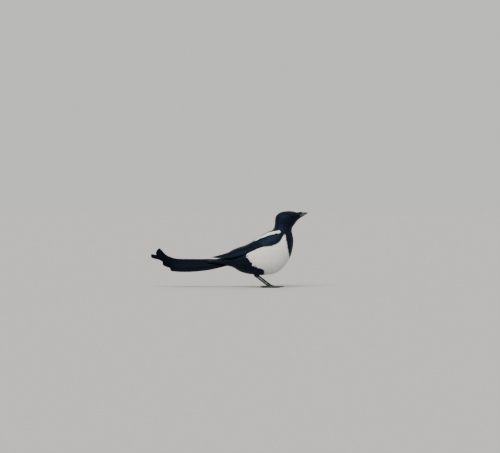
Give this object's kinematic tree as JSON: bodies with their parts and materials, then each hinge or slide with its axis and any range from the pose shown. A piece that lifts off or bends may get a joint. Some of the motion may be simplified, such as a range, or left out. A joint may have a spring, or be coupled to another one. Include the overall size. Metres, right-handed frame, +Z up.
{
  "type": "eurasian magpie model",
  "caption": "Life-size still model of a black and white long-tailed crow standing on both feet, head up, wings folded, tail held level with its tip blown up.",
  "frame": {"origin": "on the floor, under the middle of the bounding box", "axes": "+X towards the bill tip, +Y towards the bird's left side, +Z up"},
  "size_m": [0.4089, 0.0826, 0.1992],
  "materials": {
    "plumage_black": "soft sheen",
    "plumage_white": "matte",
    "feathers_white": "matte",
    "plumage_gloss_wing": "blue-green gloss",
    "plumage_gloss_tail": "green-bronze gloss",
    "horn_black": "satin",
    "leg_skin": "satin",
    "eye": "wet gloss"
  },
  "bodies": {
    "root": {"head": "plumage_black", "neck": "plumage_black", "breast": "plumage_black", "back": "plumage_black", "vent": "plumage_black", "belly": "plumage_white", "bill_upper": "horn_black", "bill_lower": "horn_black", "tail": "plumage_gloss_tail", "eye_right": "eye", "eye_left": "eye", "scapulars_right": "feathers_white", "scapulars_left": "feathers_white", "wing_right": "plumage_gloss_wing", "wing_left": "plumage_gloss_wing", "thigh_right": "plumage_black", "thigh_left": "plumage_black", "tarsus_right": "leg_skin", "tarsus_left": "leg_skin", "foot_right": "leg_skin", "foot_left": "leg_skin", "claw_right_hind": "horn_black", "claw_right_inner": "horn_black", "claw_right_middle": "horn_black", "claw_right_outer": "horn_black", "claw_left_hind": "horn_black", "claw_left_inner": "horn_black", "claw_left_middle": "horn_black", "claw_left_outer": "horn_black"}
  },
  "joints": []
}
